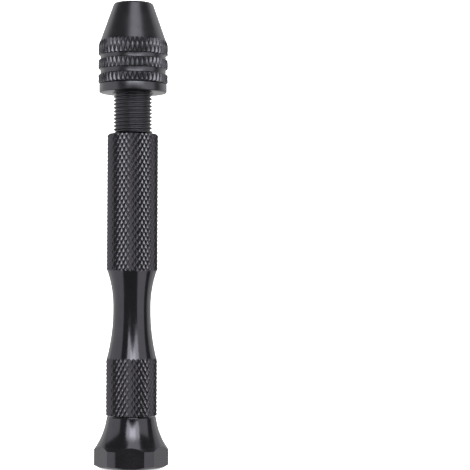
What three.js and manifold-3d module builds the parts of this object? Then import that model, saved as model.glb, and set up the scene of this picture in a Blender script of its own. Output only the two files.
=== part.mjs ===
// Pin vise drill: a slim hand drill with a keyless three-jaw chuck on a threaded nose, a knurled
// one-piece handle, and a hexagonal palm cap that swivels on a miniature ball bearing.
// Millimetres, +Z up along the drill's axis. The drill stands on the cap, and the origin is the
// centre of the cap's flat end.

import * as THREE from 'three';
import Module from 'manifold-3d';
import { mergeVertices } from 'three/addons/utils/BufferGeometryUtils.js';

const wasm = await Module();
wasm.setup();

// Sizes that drive the whole drill
const TOTAL_LENGTH = 95;
const ROUND_SEGMENTS = 40;
const SMALL_SEGMENTS = 20;
const RUNNING_GAP = 0.15;
const PRESS_GAP = 0.03;
const FINE_ARC_STEPS = 6;
const GROOVE_ARC_STEPS = 3;
const Z_AXIS = new THREE.Vector3(0, 0, 1);

// Palm cap: round stock turned to a flare, then milled to a hexagon
const CAP = {
  height: 10.34,
  neckRadius: 5.04,
  cornerRadius: 7.6,
  acrossFlats: 14.16,
  flareBottom: 3.63,
  flareArc: 14.2,
  chamferInset: 0.93,
  chamferHeight: 0.5,
  throatRadius: 3.2,
};

// Ball bearing 3 x 8 x 4 between cap and handle
const BEARING = {
  bottom: 5.4,
  bore: 1.5,
  outside: 4,
  width: 4,
  ballRadius: 0.75,
  ballCircle: 2.75,
  ballCount: 7,
  grooveRadius: 0.78,
  innerShoulder: 2.2,
  outerShoulder: 3.3,
  shieldThickness: 0.2,
  shieldInset: 0.15,
  cageWall: 0.3,
  pocketGap: 0.08,
};

// Pan head M3 screw and washer that hold the cap on
const SCREW = {
  headRadius: 2.75,
  headHeight: 2,
  shankRadius: 1.4,
  shankLength: 10,
  washerThickness: 0.5,
  washerRadius: 2.15,
  slotWidth: 0.7,
  slotLength: 2.8,
  slotDepth: 1.1,
};

// The pan head from its crown to its underside, as shares of the head's radius and height
const PAN_HEAD = [[0, 0], [0.55, 0.12], [0.87, 0.42], [1, 0.8], [1, 1]];

// Handle: chamfered ends, two knurled grips and a waist between them
const HANDLE = {
  bottom: 10.5,
  top: 68.05,
  bossRadius: 2.2,
  gripRadius: 5.2,
  endChamfer: 0.4,
  lowerGripTop: 21.6,
  upperGripBottom: 40.2,
  waistRadius: 3.84,
  waistTopRadius: 5.08,
  waistLow: 31.9,
  waistHigh: 32.75,
  tapRadius: 1.6,
  tapDepth: 6.2,
};

// M8 x 0.75 thread of the handle's nose
const THREAD = {
  pitch: 0.75,
  crestRadius: 3.9,
  rootRadius: 3.5,
  turns: 16,
  start: 68.15,
  end: 81.1,
  leadIn: 0.5,
  rootOverlap: 1,
};

// Chuck, measured from its rear face
const CHUCK = {
  rear: 76.5,
  flangeRadius: 6.92,
  flangeLength: 1.75,
  coreRadius: 5.9,
  tapRadius: 4.05,
  tapDepth: 4.9,
  throughRadius: 1.9,
  noseRadius: 2.9,
  noseEnd: 18.35,
  edge: 0.3,
  nutGrooveDepth: 0.35,
};

const SLEEVE = {
  rear: 1.9,
  length: TOTAL_LENGTH - CHUCK.rear,
  boreRadius: 6.1,
  bandRadius: 7.12,
  grooveRadius: 6.69,
  edge: 0.25,
  lowBandTop: 3.55,
  middleBandBottom: 5,
  middleBandTop: 6.6,
  highBandBottom: 7.9,
  highBandTop: 10.1,
  coneBase: 6.7,
  coneBottom: 10.8,
  coneTip: 4.08,
  coneTop: 18.2,
  mouthRadius: 3.05,
};

// Split nut that the sleeve carries round the jaws
const NUT = {
  bottom: 9.7,
  top: 12.3,
  seatRadius: 5.7,
  seatTop: 11.4,
  frontRadius: 5.25,
  splitGap: 0.2,
  threadGap: 0.12,
};

// Jaws: round rods that slide down bores at an angle to the drill's axis
const JAW = {
  count: 3,
  tilt: THREE.MathUtils.degToRad(20),
  radius: 1.3,
  length: 8,
  overrun: 2,
  tip: 18.1,
  tipOffset: 0.3,
  gripOffset: 0.15,
  sideGap: 0.05,
  boreRadius: 1.42,
  boreBottom: 5.75,
  toothPitch: 0.8,
  toothDepth: 0.2,
  toothCount: 6,
  firstTooth: 0.75,
};

// --- Solids -------------------------------------------------------------------------------------

// A closed three.js geometry as a solid that can be joined and cut
function solid(geometry) {
  const bare = geometry.clone();
  bare.deleteAttribute('normal');
  bare.deleteAttribute('uv');
  const merged = mergeVertices(bare);
  const corners = merged.index.array;
  const triangles = [];
  for (let i = 0; i < corners.length; i += 3) {
    const [a, b, c] = corners.slice(i, i + 3);
    if (a !== b && b !== c && c !== a) {
      triangles.push(a, b, c);
    }
  }
  const mesh = new wasm.Mesh({
    numProp: 3,
    vertProperties: merged.attributes.position.array,
    triVerts: new Uint32Array(triangles),
  });
  return new wasm.Manifold(mesh);
}

// A profile of [radius, height] points turned about Z. It runs anticlockwise, from the axis back
// to the axis or round to its first point.
function turned(profile, segments = ROUND_SEGMENTS) {
  const points = profile.map(([radius, height]) => new THREE.Vector2(radius, height));
  return solid(new THREE.LatheGeometry(points, segments).rotateX(Math.PI / 2));
}

// The same for a ring, whose profile closes on itself
function ring(profile, segments = ROUND_SEGMENTS) {
  return turned([...profile, profile[0]], segments);
}

// Points along an arc of the given radius. Its centre lies to the right of the way from start to end,
// so on a profile the arc is a hollow.
function arc(start, end, radius, steps) {
  const from = new THREE.Vector2(...start);
  const chord = new THREE.Vector2(...end).sub(from);
  const half = chord.length() / 2;
  const toCentre = new THREE.Vector2(chord.y, -chord.x).setLength(Math.sqrt(radius ** 2 - half ** 2));
  const centre = from.clone().addScaledVector(chord, 0.5).add(toCentre);
  const sweep = -2 * Math.asin(half / radius);
  const points = [];
  for (let i = 0; i <= steps; i += 1) {
    const point = from.clone().rotateAround(centre, (sweep * i) / steps);
    points.push([point.x, point.y]);
  }
  return points;
}

// Radius of the arc that leaves a straight wall smoothly and moves this far out over this height
function smoothArcRadius(outward, height) {
  return (outward ** 2 + height ** 2) / (2 * outward);
}

// A named mesh with a material of its own
function piece(name, shape, finish) {
  const { vertProperties, triVerts } = shape.getMesh();
  const geometry = new THREE.BufferGeometry();
  geometry.setAttribute('position', new THREE.BufferAttribute(vertProperties, 3));
  geometry.setIndex(new THREE.BufferAttribute(triVerts, 1));
  geometry.computeVertexNormals();
  const mesh = new THREE.Mesh(geometry, new THREE.MeshStandardMaterial(finish));
  mesh.name = name;
  return mesh;
}

const BLACK_ANODISED = { color: '#2a2a2e', roughness: 0.38, metalness: 0.9 };
const BLACK_STEEL = { color: '#3a3a3e', roughness: 0.34, metalness: 1 };
const JAW_STEEL = { color: '#8c8c8f', roughness: 0.32, metalness: 1 };
const BEARING_STEEL = { color: '#b9bbbe', roughness: 0.22, metalness: 1 };
const CAGE_NYLON = { color: '#d9d2c0', roughness: 0.6, metalness: 0 };
const ZINC_STEEL = { color: '#a9abad', roughness: 0.4, metalness: 1 };

// --- Handle -------------------------------------------------------------------------------------

// The threaded nose: a root cylinder with one helical ridge, closed by a face at each end of it
function threadedRod(bottom, top) {
  const turnSteps = SMALL_SEGMENTS;
  const ridgeSteps = THREAD.turns * turnSteps;
  const vertices = [];
  const indices = [];

  function vertex(step, radius, height) {
    const angle = (2 * Math.PI * step) / turnSteps;
    vertices.push(radius * Math.cos(angle), radius * Math.sin(angle), height);
    return vertices.length / 3 - 1;
  }

  function polygon(...corners) {
    for (let i = 1; i < corners.length - 1; i += 1) {
      indices.push(corners[0], corners[i], corners[i + 1]);
    }
  }

  const rise = THREAD.pitch / turnSteps;
  const roots = [];
  const crests = [];
  for (let i = 0; i <= ridgeSteps + turnSteps; i += 1) {
    roots.push(vertex(i, THREAD.rootRadius, THREAD.start + rise * i));
  }
  for (let i = 0; i <= ridgeSteps; i += 1) {
    crests.push(vertex(i, THREAD.crestRadius, THREAD.start + rise * (i + turnSteps / 2)));
  }
  for (let i = 0; i < ridgeSteps; i += 1) {
    polygon(roots[i], roots[i + 1], crests[i + 1], crests[i]);
    polygon(crests[i], crests[i + 1], roots[i + 1 + turnSteps], roots[i + turnSteps]);
  }
  polygon(roots[0], crests[0], roots[turnSteps]);
  polygon(roots[ridgeSteps], roots[ridgeSteps + turnSteps], crests[ridgeSteps]);

  const low = [];
  const high = [];
  for (let i = 0; i < turnSteps; i += 1) {
    low.push(vertex(i, THREAD.rootRadius, bottom));
    high.push(vertex(i, THREAD.rootRadius, top));
  }
  const lowCentre = vertex(0, 0, bottom);
  const highCentre = vertex(0, 0, top);
  for (let i = 0; i < turnSteps; i += 1) {
    const next = (i + 1) % turnSteps;
    const lastLow = i === turnSteps - 1 ? [roots[0]] : [];
    const firstHigh = i === 0 ? [roots[ridgeSteps + turnSteps]] : [];
    polygon(low[i], low[next], ...lastLow, roots[i + 1], roots[i]);
    polygon(high[i], ...firstHigh, roots[ridgeSteps + i], roots[ridgeSteps + i + 1], high[next]);
    polygon(lowCentre, low[next], low[i]);
    polygon(highCentre, high[i], high[next]);
  }

  const geometry = new THREE.BufferGeometry();
  geometry.setAttribute('position', new THREE.Float32BufferAttribute(vertices, 3));
  geometry.setIndex(indices);
  return solid(geometry);
}

function handle() {
  const { bottom, top, gripRadius, endChamfer, waistRadius, waistTopRadius, tapRadius } = HANDLE;
  const { lowerGripTop, upperGripBottom, waistLow, waistHigh } = HANDLE;
  const bossBottom = BEARING.bottom + BEARING.width;
  const tapTop = bossBottom + HANDLE.tapDepth;
  const lowerArc = smoothArcRadius(gripRadius - waistRadius, waistLow - lowerGripTop);
  const upperArc = smoothArcRadius(waistTopRadius - waistRadius, upperGripBottom - waistHigh);
  const stock = turned([
    [0, tapTop + tapRadius / 2],
    [tapRadius, tapTop],
    [tapRadius, bossBottom],
    [HANDLE.bossRadius, bossBottom],
    [HANDLE.bossRadius, bottom],
    [gripRadius - endChamfer / 2, bottom],
    [gripRadius, bottom + endChamfer / 2],
    ...arc([gripRadius, lowerGripTop], [waistRadius, waistLow], lowerArc, FINE_ARC_STEPS),
    ...arc([waistRadius, waistHigh], [waistTopRadius, upperGripBottom], upperArc, FINE_ARC_STEPS),
    [gripRadius, upperGripBottom + gripRadius - waistTopRadius],
    [gripRadius, top - endChamfer],
    [gripRadius - endChamfer, top],
    [0, top],
  ]);
  const threadBottom = top - THREAD.rootOverlap;
  const threadEnvelope = turned([
    [0, threadBottom],
    [gripRadius, threadBottom],
    [gripRadius, THREAD.end - THREAD.leadIn - gripRadius + THREAD.crestRadius],
    [THREAD.crestRadius - THREAD.leadIn, THREAD.end],
    [0, THREAD.end],
  ], SMALL_SEGMENTS);
  return stock.add(threadedRod(threadBottom, THREAD.end).intersect(threadEnvelope));
}

// --- Palm cap and its bearing -------------------------------------------------------------------

function endCap() {
  const { height, neckRadius, cornerRadius, acrossFlats, flareBottom, throatRadius } = CAP;
  const seatRadius = BEARING.outside + PRESS_GAP;
  const round = ring([
    [throatRadius, 0],
    [cornerRadius - CAP.chamferInset, 0],
    [cornerRadius, CAP.chamferHeight],
    ...arc([cornerRadius, flareBottom], [neckRadius, height - RUNNING_GAP], CAP.flareArc, FINE_ARC_STEPS),
    [neckRadius - RUNNING_GAP, height],
    [seatRadius, height],
    [seatRadius, BEARING.bottom],
    [throatRadius, BEARING.bottom],
  ]);
  const prismRadius = acrossFlats / Math.sqrt(3);
  const prism = new THREE.CylinderGeometry(prismRadius, prismRadius, 3 * height, 6);
  prism.rotateX(Math.PI / 2);
  prism.rotateZ(Math.PI / 6);
  return round.intersect(solid(prism));
}

// Half the height of the ball groove where it meets a ring's shoulder
function grooveHalfHeight(shoulder) {
  return Math.sqrt(BEARING.grooveRadius ** 2 - (BEARING.ballCircle - shoulder) ** 2);
}

function outerRing() {
  const { outside, width, outerShoulder, grooveRadius } = BEARING;
  const middle = width / 2;
  const half = grooveHalfHeight(outerShoulder);
  return ring([
    [outerShoulder, 0],
    [outside - RUNNING_GAP, 0],
    [outside, RUNNING_GAP],
    [outside, width - RUNNING_GAP],
    [outside - RUNNING_GAP, width],
    [outerShoulder, width],
    ...arc([outerShoulder, middle + half], [outerShoulder, middle - half], grooveRadius, GROOVE_ARC_STEPS),
  ], SMALL_SEGMENTS);
}

function innerRing() {
  const { bore, width, innerShoulder, grooveRadius } = BEARING;
  const middle = width / 2;
  const half = grooveHalfHeight(innerShoulder);
  return ring([
    [bore, 0],
    [innerShoulder, 0],
    ...arc([innerShoulder, middle - half], [innerShoulder, middle + half], grooveRadius, GROOVE_ARC_STEPS),
    [innerShoulder, width],
    [bore, width],
  ], SMALL_SEGMENTS);
}

function ballPlace(index) {
  const angle = (2 * Math.PI * index) / BEARING.ballCount;
  return new THREE.Vector3(BEARING.ballCircle, 0, BEARING.width / 2).applyAxisAngle(Z_AXIS, angle);
}

// A crown cage: a flat rim with the balls snapped into pockets that open on one side
function cage() {
  const { innerShoulder, outerShoulder, ballRadius, ballCount, width, cageWall, pocketGap } = BEARING;
  const bottom = width / 2 - ballRadius - cageWall;
  const top = width / 2 + cageWall;
  let crown = ring([
    [innerShoulder + RUNNING_GAP, bottom],
    [outerShoulder - RUNNING_GAP, bottom],
    [outerShoulder - RUNNING_GAP, top],
    [innerShoulder + RUNNING_GAP, top],
  ], SMALL_SEGMENTS);
  for (let i = 0; i < ballCount; i += 1) {
    const pocketRadius = ballRadius + pocketGap;
    const pocketSegments = SMALL_SEGMENTS / 2;
    const pocket = new THREE.CylinderGeometry(pocketRadius, pocketRadius, 2 * pocketRadius, pocketSegments);
    pocket.rotateX(Math.PI / 2);
    pocket.translate(...ballPlace(i));
    crown = crown.subtract(solid(pocket));
  }
  return crown;
}

function shield() {
  const { innerShoulder, outerShoulder, shieldThickness } = BEARING;
  const inside = innerShoulder + RUNNING_GAP / 2;
  const outside = outerShoulder - PRESS_GAP;
  const profile = [[inside, 0], [outside, 0], [outside, shieldThickness], [inside, shieldThickness]];
  return ring(profile, SMALL_SEGMENTS);
}

function bearing() {
  const { width, ballCount, ballRadius, shieldInset, shieldThickness } = BEARING;
  const group = new THREE.Group();
  group.position.z = BEARING.bottom;
  group.add(piece('bearing_outer_ring', outerRing(), BEARING_STEEL));
  group.add(piece('bearing_inner_ring', innerRing(), BEARING_STEEL));
  group.add(piece('bearing_cage', cage(), CAGE_NYLON));
  for (let i = 0; i < ballCount; i += 1) {
    const ball = new THREE.IcosahedronGeometry(ballRadius, 1);
    const mesh = piece(`bearing_ball_${i + 1}`, solid(ball), BEARING_STEEL);
    mesh.position.copy(ballPlace(i));
    group.add(mesh);
  }
  const lower = piece('bearing_shield_lower', shield(), BEARING_STEEL);
  lower.position.z = shieldInset;
  const upper = piece('bearing_shield_upper', shield(), BEARING_STEEL);
  upper.position.z = width - shieldInset - shieldThickness;
  group.add(lower, upper);
  return group;
}

function washer() {
  const { shankRadius, washerRadius, washerThickness } = SCREW;
  const hole = shankRadius + RUNNING_GAP;
  const profile = [[hole, 0], [washerRadius, 0], [washerRadius, washerThickness], [hole, washerThickness]];
  return ring(profile, SMALL_SEGMENTS);
}

// Pan head screw, point up, with a cross recess in the domed head
function pivotScrew() {
  const { headRadius, headHeight, shankRadius, shankLength, slotWidth, slotLength, slotDepth } = SCREW;
  let screw = turned([
    ...PAN_HEAD.map(([across, up]) => [headRadius * across, headHeight * up]),
    [shankRadius, headHeight],
    [shankRadius, headHeight + shankLength - shankRadius / 2],
    [shankRadius / 2, headHeight + shankLength],
    [0, headHeight + shankLength],
  ], SMALL_SEGMENTS);
  for (const angle of [0, Math.PI / 2]) {
    const slot = new THREE.BoxGeometry(slotLength, slotWidth, 2 * slotDepth).rotateZ(angle);
    screw = screw.subtract(solid(slot));
  }
  return screw;
}

function palmEnd() {
  const group = new THREE.Group();
  const washerBottom = BEARING.bottom - SCREW.washerThickness;
  const clamp = piece('pivot_washer', washer(), ZINC_STEEL);
  clamp.position.z = washerBottom;
  const screw = piece('pivot_screw', pivotScrew(), ZINC_STEEL);
  screw.position.z = washerBottom - SCREW.headHeight;
  group.add(piece('end_cap', endCap(), BLACK_ANODISED), bearing(), clamp, screw);
  return group;
}

// --- Chuck --------------------------------------------------------------------------------------

// A rod along a jaw's slanted axis: it reaches the jaw's tip height at the front and tilts outwards
// to the rear. Lengths are measured back from the tip height.
function slantedRod(radius, front, back) {
  const rod = new THREE.CylinderGeometry(radius, radius, back - front, SMALL_SEGMENTS);
  rod.rotateX(Math.PI / 2);
  rod.translate(0, 0, -(front + back) / 2);
  rod.rotateY(-JAW.tilt);
  rod.translate(JAW.tipOffset, 0, JAW.tip);
  return rod;
}

// Radius of a jaw's outer flank at a height in the chuck
function jawFlankRadius(height) {
  return JAW.tipOffset + (JAW.tip - height) * Math.tan(JAW.tilt) + JAW.radius / Math.cos(JAW.tilt);
}

function jaw() {
  const { tilt, radius, length, overrun, tip, tipOffset, gripOffset, sideGap } = JAW;
  let rod = solid(slantedRod(radius, -overrun, length));

  // The front is cut flat, and to a wedge with a narrow gripping face that the other jaws leave room for
  const reach = 3 * CHUCK.flangeRadius;
  const slope = Math.tan(Math.PI / 3);
  const clearance = sideGap / Math.cos(Math.PI / 3);
  const near = gripOffset * slope - clearance;
  const far = reach * slope - clearance;
  const outline = new THREE.Shape();
  outline.moveTo(gripOffset, -near);
  outline.lineTo(reach, -far);
  outline.lineTo(reach, far);
  outline.lineTo(gripOffset, near);
  const wedge = new THREE.ExtrudeGeometry(outline, { depth: tip, bevelEnabled: false });
  rod = rod.intersect(solid(wedge));

  // Thread teeth across the outer flank, which the nut drives
  const { toothPitch, toothDepth, toothCount, firstTooth } = JAW;
  for (let i = 0; i < toothCount; i += 1) {
    const tooth = new THREE.BoxGeometry(2 * toothDepth, 2 * radius, toothPitch / 2);
    tooth.translate(radius, 0, -length + toothPitch * (i + firstTooth));
    tooth.rotateY(-tilt);
    tooth.translate(tipOffset, 0, tip);
    rod = rod.subtract(solid(tooth));
  }
  return rod;
}

function chuckBody() {
  const { flangeRadius, flangeLength, coreRadius, tapRadius, tapDepth, throughRadius } = CHUCK;
  const { noseRadius, noseEnd, edge, nutGrooveDepth } = CHUCK;
  const grooveBottom = NUT.bottom - RUNNING_GAP;
  const grooveTop = NUT.top + RUNNING_GAP;
  let body = ring([
    [throughRadius, tapDepth],
    [tapRadius, tapDepth],
    [tapRadius, edge],
    [tapRadius + edge, 0],
    [flangeRadius - edge, 0],
    [flangeRadius, edge],
    [flangeRadius, flangeLength],
    [coreRadius, flangeLength],
    [coreRadius, grooveBottom],
    [jawFlankRadius(grooveBottom) - nutGrooveDepth, grooveBottom],
    [jawFlankRadius(grooveTop) - nutGrooveDepth, grooveTop],
    [NUT.frontRadius - RUNNING_GAP, grooveTop],
    [noseRadius, noseEnd],
    [throughRadius, noseEnd],
  ]);
  const back = (JAW.tip - JAW.boreBottom) / Math.cos(JAW.tilt);
  for (let i = 0; i < JAW.count; i += 1) {
    const bore = slantedRod(JAW.boreRadius, -JAW.overrun, back);
    bore.rotateZ((2 * Math.PI * i) / JAW.count);
    body = body.subtract(solid(bore));
  }
  return body;
}

function sleeve() {
  const { rear, length, boreRadius, bandRadius, grooveRadius, edge, coneBase, coneBottom } = SLEEVE;
  const { coneTip, coneTop, mouthRadius } = SLEEVE;
  const { lowBandTop, middleBandBottom, middleBandTop, highBandBottom, highBandTop } = SLEEVE;
  return ring([
    [boreRadius, rear],
    [bandRadius - edge, rear],
    [bandRadius, rear + edge],
    [bandRadius, lowBandTop],
    [grooveRadius, lowBandTop + edge],
    [grooveRadius, middleBandBottom - edge],
    [bandRadius, middleBandBottom],
    [bandRadius, middleBandTop],
    [grooveRadius, middleBandTop + edge],
    [grooveRadius, highBandBottom - edge],
    [bandRadius, highBandBottom],
    [bandRadius, highBandTop],
    [coneBase, coneBottom],
    [coneTip, coneTop],
    [coneTip - edge, length],
    [mouthRadius, length],
    [NUT.frontRadius, NUT.top + RUNNING_GAP],
    [NUT.seatRadius, NUT.seatTop],
    [NUT.seatRadius, NUT.bottom - RUNNING_GAP],
    [boreRadius, NUT.bottom - RUNNING_GAP],
  ]);
}

// Half of the split nut, on the given side of the split
function nutHalf(side) {
  const { bottom, top, seatRadius, seatTop, frontRadius, splitGap, threadGap } = NUT;
  const whole = ring([
    [jawFlankRadius(bottom) + threadGap, bottom],
    [seatRadius - PRESS_GAP, bottom],
    [seatRadius - PRESS_GAP, seatTop],
    [frontRadius - PRESS_GAP, top],
    [jawFlankRadius(top) + threadGap, top],
  ]);
  const size = 4 * seatRadius;
  const block = new THREE.BoxGeometry(size, size, size);
  block.translate(0, side * (size / 2 + splitGap / 2), bottom);
  return whole.intersect(solid(block));
}

function chuck() {
  const group = new THREE.Group();
  group.position.z = CHUCK.rear;
  group.add(piece('chuck_body', chuckBody(), BLACK_STEEL));
  group.add(piece('chuck_sleeve', sleeve(), BLACK_STEEL));
  group.add(piece('nut_half_1', nutHalf(1), ZINC_STEEL));
  group.add(piece('nut_half_2', nutHalf(-1), ZINC_STEEL));
  for (let i = 0; i < JAW.count; i += 1) {
    const mesh = piece(`jaw_${i + 1}`, jaw(), JAW_STEEL);
    mesh.rotation.z = (2 * Math.PI * i) / JAW.count;
    group.add(mesh);
  }
  return group;
}

const pinVise = new THREE.Group();
pinVise.add(piece('handle', handle(), BLACK_ANODISED), palmEnd(), chuck());

export default pinVise;
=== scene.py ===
"""Pin vise drill: a slim hand drill with a keyless chuck, knurled grips and a swivel cap.

The pieces are turned as plain stock, then knurled, threaded, drilled and milled by Geometry Nodes.
"""

import math
from types import SimpleNamespace

import bmesh
import bpy
from bpy.props import FloatProperty, FloatVectorProperty, IntProperty, PointerProperty
from mathutils import Matrix, Vector


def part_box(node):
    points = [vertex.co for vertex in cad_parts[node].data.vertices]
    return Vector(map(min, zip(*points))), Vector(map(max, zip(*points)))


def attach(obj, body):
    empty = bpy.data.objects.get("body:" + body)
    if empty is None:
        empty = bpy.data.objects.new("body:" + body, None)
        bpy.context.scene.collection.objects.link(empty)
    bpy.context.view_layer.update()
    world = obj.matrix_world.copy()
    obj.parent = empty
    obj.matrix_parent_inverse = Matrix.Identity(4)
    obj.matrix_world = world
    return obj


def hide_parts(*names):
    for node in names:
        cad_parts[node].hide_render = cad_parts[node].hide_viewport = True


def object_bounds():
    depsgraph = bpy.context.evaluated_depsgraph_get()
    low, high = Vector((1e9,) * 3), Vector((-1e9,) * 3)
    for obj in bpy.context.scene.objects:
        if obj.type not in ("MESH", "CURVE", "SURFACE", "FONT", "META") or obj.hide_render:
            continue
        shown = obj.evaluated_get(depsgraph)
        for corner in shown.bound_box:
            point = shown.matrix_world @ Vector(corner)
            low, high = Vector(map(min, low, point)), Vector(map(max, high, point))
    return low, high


bl_info = {
    "name": "Pin Vise Drill",
    "version": (1, 0, 0),
    "blender": (4, 5, 0),
    "location": "View3D > Sidebar > Pin Vise",
    "description": "Builds a pin vise drill from turned, knurled and threaded pieces",
    "category": "Add Mesh",
}

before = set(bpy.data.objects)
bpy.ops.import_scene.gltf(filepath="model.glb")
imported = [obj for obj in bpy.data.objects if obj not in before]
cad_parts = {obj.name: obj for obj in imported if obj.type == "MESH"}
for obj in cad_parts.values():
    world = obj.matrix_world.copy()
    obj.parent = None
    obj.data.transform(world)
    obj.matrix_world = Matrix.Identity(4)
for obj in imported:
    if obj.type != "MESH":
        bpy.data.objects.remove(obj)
CAD_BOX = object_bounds()

MM = 0.001
STOCK_SEGMENTS = 192
SMALL_SEGMENTS = 96

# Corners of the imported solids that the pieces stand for
HANDLE_LOW, HANDLE_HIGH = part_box("handle")
CAP_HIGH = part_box("end_cap")[1]
CORE_LOW, CORE_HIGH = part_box("chuck_body")
SLEEVE_LOW, SLEEVE_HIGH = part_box("chuck_sleeve")
NUT_LOW, NUT_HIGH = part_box("nut_half_1")
SCREW_LOW, SCREW_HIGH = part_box("pivot_screw")
BEARING_LOW, BEARING_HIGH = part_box("bearing_outer_ring")

# How the jaws lie in the chuck, and the seat that the sleeve and the nut share
JAW_TILT = math.radians(20)
JAW_TIP_OFFSET = 0.3 * MM
JAW_FRONT = 0.25 * MM
NUT_SEAT = 5.7 * MM
NUT_FRONT = 5.25 * MM
NUT_TAPER = 0.9 * MM
NUT_GAP = 0.15 * MM


def length(name, description, millimetres):
    """A size in metres, given in millimetres."""
    return FloatProperty(
        name=name, description=description, default=millimetres * MM, unit="LENGTH", precision=5
    )


def count(name, description, number):
    return IntProperty(name=name, description=description, default=number, min=1)


def linear(hex_colour):
    """An sRGB hex colour as linear RGB."""
    channels = [int(hex_colour[i : i + 2], 16) / 255 for i in (1, 3, 5)]
    return tuple(c / 12.92 if c <= 0.04045 else ((c + 0.055) / 1.055) ** 2.4 for c in channels)


def colour(name, description, hex_colour):
    return FloatVectorProperty(
        name=name, description=description, default=linear(hex_colour), subtype="COLOR", size=3, min=0, max=1
    )


class HandleSizes(bpy.types.PropertyGroup):
    """Sizes of the handle and its threaded nose"""

    bottom: length("Bottom", "Height of the lower grip's end face", 10.5)
    shoulder: length("Shoulder", "Height of the face that the nose stands on", 68.05)
    grip_radius: length("Grip radius", "Radius over the knurl's flats", 5.24)
    neck_radius: length("Neck radius", "Radius of the lower grip's chamfered end", 5.1)
    lower_grip_top: length("Lower grip top", "Height where the lower grip runs into the waist", 21.6)
    upper_grip_bottom: length("Upper grip bottom", "Height where the waist meets the upper grip", 40.2)
    waist_radius: length("Waist radius", "Radius of the thinnest part", 3.85)
    waist_low: length("Waist low", "Height where the waist's straight part starts", 31.9)
    waist_high: length("Waist high", "Height where the waist's straight part ends", 32.75)
    chamfer: length("Chamfer", "Chamfer at the shoulder", 0.35)
    boss_radius: length("Boss radius", "Radius of the boss that bears on the ball bearing", 2.2)
    tap_radius: length("Tap radius", "Radius of the hole for the pivot screw", 1.6)
    knurl_count: count("Knurl count", "Diamonds round the grip", 36)
    knurl_pitch: length("Knurl pitch", "Height of one diamond", 1.64)
    knurl_depth: length("Knurl depth", "Depth of the grooves", 0.2)
    thread_crest: length("Thread crest", "Outer radius of the nose thread", 3.98)
    thread_root: length("Thread root", "Root radius of the nose thread", 3.52)
    thread_pitch: length("Thread pitch", "Rise of the thread in one turn", 0.75)


class ChuckSizes(bpy.types.PropertyGroup):
    """Sizes of the chuck, measured from its rear face where they are heights"""

    flange_radius: length("Flange radius", "Radius of the body's plain rear flange", 6.93)
    flange_length: length("Flange length", "Height of the flange", 1.75)
    core_radius: length("Core radius", "Radius of the body inside the sleeve", 5.9)
    tap_radius: length("Tap radius", "Radius of the bore for the nose thread", 4.05)
    tap_depth: length("Tap depth", "Depth of that bore", 4.9)
    through_radius: length("Through radius", "Radius of the bore between the jaws", 1.9)
    nose_radius: length("Nose radius", "Radius of the body's front end", 2.9)
    band_radius: length("Band radius", "Radius over the sleeve's knurled bands", 7.14)
    groove_radius: length("Groove radius", "Radius in the sleeve's two grooves", 6.72)
    cone_base: length("Cone base", "Radius where the sleeve's cone starts", 6.72)
    cone_tip: length("Cone tip", "Radius where the sleeve's cone ends", 4.1)
    bore_radius: length("Bore radius", "Radius of the sleeve's bore", 6.1)
    mouth_radius: length("Mouth radius", "Radius of the sleeve's mouth", 3.05)
    knurl_count: count("Knurl count", "Diamonds round the sleeve", 44)
    knurl_pitch: length("Knurl pitch", "Height of one diamond", 3.65)
    knurl_depth: length("Knurl depth", "Depth of the grooves", 0.27)
    knurl_point: length("Knurl point", "Height of the diamonds if they came to a point", 0.33)
    knurl_start: length("Knurl start", "Height of the lowest diamonds above the chuck's rear face", 0.14)
    jaw_radius: length("Jaw radius", "Radius of a jaw", 1.3)
    jaw_count: count("Jaw count", "Jaws round the drill's axis", 3)
    jaw_length: length("Jaw length", "Length of a jaw", 8.0)


class CapSizes(bpy.types.PropertyGroup):
    """Sizes of the hexagonal palm cap"""

    neck_radius: length("Neck radius", "Radius at the top of the flare", 5.06)
    corner_radius: length("Corner radius", "Radius of the round stock, left on the six corners", 7.61)
    across_flats: length("Across flats", "Distance between opposite flats", 14.16)
    flare_bottom: length("Flare bottom", "Height where the flare ends", 3.63)
    flare_arc: length("Flare arc", "Radius of the flare's hollow", 14.2)
    chamfer_inset: length("Chamfer inset", "How far in the chamfer round the end face goes", 0.93)
    chamfer: length("Chamfer height", "Height of that chamfer", 0.5)
    throat_radius: length("Throat radius", "Radius of the recess for the pivot screw", 3.2)


class Finishes(bpy.types.PropertyGroup):
    """Colours of the finishes"""

    anodised: colour("Anodised black", "Dyed oxide on the handle and cap", "#3b3a3e")
    oxide: colour("Black oxide", "Blackened steel of the chuck", "#414145")
    jaw: colour("Jaw steel", "Ground steel of the jaws", "#8f8f93")
    bearing: colour("Bearing steel", "Polished steel of the bearing", "#c4c6ca")
    zinc: colour("Zinc", "Plating on screw, washer and nut", "#b7b9bb")
    nylon: colour("Nylon", "The bearing's cage", "#d8d2c2")
    floor: colour("Floor", "The pale floor and backdrop", "#f4f4f4")


def level(name, description, radiance):
    """A light's radiance, where 1 shows as white."""
    return FloatProperty(name=name, description=description, default=radiance, min=0)


def angle(name, description, degrees):
    return FloatProperty(name=name, description=description, default=math.radians(degrees), subtype="ANGLE")


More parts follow.
